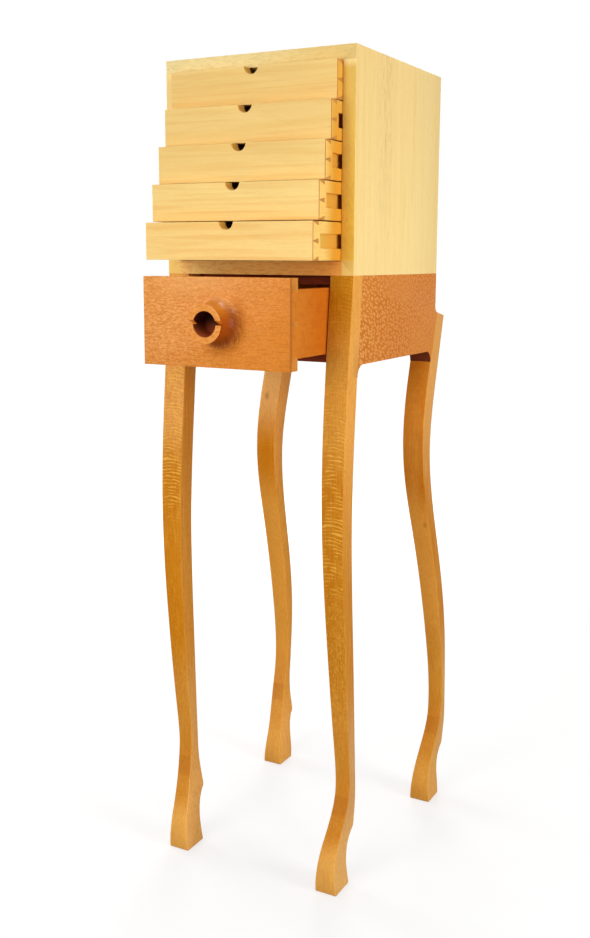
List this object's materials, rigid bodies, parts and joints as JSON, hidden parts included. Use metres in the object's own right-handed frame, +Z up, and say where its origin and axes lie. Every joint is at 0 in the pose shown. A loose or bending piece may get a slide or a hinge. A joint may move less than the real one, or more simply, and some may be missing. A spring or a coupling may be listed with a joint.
{
  "type": "cabinet on stand",
  "caption": "Small case of shallow dovetailed drawers with finger notches, on a stand with curved tapering legs that holds a deep drawer with a hollow turned knob.",
  "frame": {"origin": "floor under the middle of the bounding box, with the drawers drawn out as in the picture", "axes": "+Z up, -Y out of the drawer fronts, +X to the right of someone who faces the fronts"},
  "size_m": [0.342, 0.532, 1.242],
  "materials": {
    "case_timber": "satin oiled pale yellow fine-grained timber",
    "drawer_front_timber": "satin oiled pale honey timber, grain across",
    "drawer_side_timber": "satin waxed warm yellow timber",
    "inner_timber": "plain sanded secondary timber",
    "stand_timber": "satin oiled golden-brown timber with ray fleck",
    "panel_timber": "satin oiled reddish timber with a dense small fleck",
    "deep_front_timber": "satin oiled orange-brown timber with rippled fleck",
    "deep_side_timber": "satin waxed orange timber",
    "knob_timber": "polished turned timber",
    "screw_metal": "plain brass"
  },
  "bodies": {
    "cabinet": {"case_top": "case_timber", "case_bottom": "case_timber", "case_right_side": "case_timber", "case_left_side": "case_timber", "case_back": "inner_timber", "right_drawer_runners": "inner_timber", "left_drawer_runners": "inner_timber", "runner_screws": "screw_metal", "case_screws": "screw_metal", "right_kicker": "inner_timber", "left_kicker": "inner_timber", "right_runner": "inner_timber", "left_runner": "inner_timber", "top_front_rail": "stand_timber", "bottom_front_rail": "stand_timber", "back_apron": "panel_timber", "leg_dowels": "inner_timber", "right_side_panel": "panel_timber", "left_side_panel": "panel_timber", "front_right_leg": "stand_timber", "front_left_leg": "stand_timber", "rear_right_leg": "stand_timber", "rear_left_leg": "stand_timber"},
    "drawer_1": {"drawer_1_front": "drawer_front_timber", "drawer_1_right_side": "drawer_side_timber", "drawer_1_left_side": "drawer_side_timber", "drawer_1_back": "inner_timber", "drawer_1_bottom": "inner_timber"},
    "drawer_2": {"drawer_2_front": "drawer_front_timber", "drawer_2_right_side": "drawer_side_timber", "drawer_2_left_side": "drawer_side_timber", "drawer_2_back": "inner_timber", "drawer_2_bottom": "inner_timber"},
    "drawer_3": {"drawer_3_front": "drawer_front_timber", "drawer_3_right_side": "drawer_side_timber", "drawer_3_left_side": "drawer_side_timber", "drawer_3_back": "inner_timber", "drawer_3_bottom": "inner_timber"},
    "drawer_4": {"drawer_4_front": "drawer_front_timber", "drawer_4_right_side": "drawer_side_timber", "drawer_4_left_side": "drawer_side_timber", "drawer_4_back": "inner_timber", "drawer_4_bottom": "inner_timber"},
    "drawer_5": {"drawer_5_front": "drawer_front_timber", "drawer_5_right_side": "drawer_side_timber", "drawer_5_left_side": "drawer_side_timber", "drawer_5_back": "inner_timber", "drawer_5_bottom": "inner_timber"},
    "deep_drawer": {"deep_drawer_front": "deep_front_timber", "deep_drawer_right_side": "deep_side_timber", "deep_drawer_left_side": "deep_side_timber", "deep_drawer_back": "inner_timber", "deep_drawer_bottom": "inner_timber", "deep_drawer_knob": "knob_timber"}
  },
  "joints": [
    {"name": "drawer_1_slide", "type": "slide", "parent": "cabinet", "child": "drawer_1", "axis": [0, -1, 0], "range_m": [-0.0173, 0.2127]},
    {"name": "drawer_2_slide", "type": "slide", "parent": "cabinet", "child": "drawer_2", "axis": [0, -1, 0], "range_m": [-0.0346, 0.1954]},
    {"name": "drawer_3_slide", "type": "slide", "parent": "cabinet", "child": "drawer_3", "axis": [0, -1, 0], "range_m": [-0.0519, 0.1781]},
    {"name": "drawer_4_slide", "type": "slide", "parent": "cabinet", "child": "drawer_4", "axis": [0, -1, 0], "range_m": [-0.0692, 0.1608]},
    {"name": "drawer_5_slide", "type": "slide", "parent": "cabinet", "child": "drawer_5", "axis": [0, -1, 0], "range_m": [-0.0865, 0.1435]},
    {"name": "deep_drawer_slide", "type": "slide", "parent": "cabinet", "child": "deep_drawer", "axis": [0, -1, 0], "range_m": [-0.118, 0.102]}
  ]
}
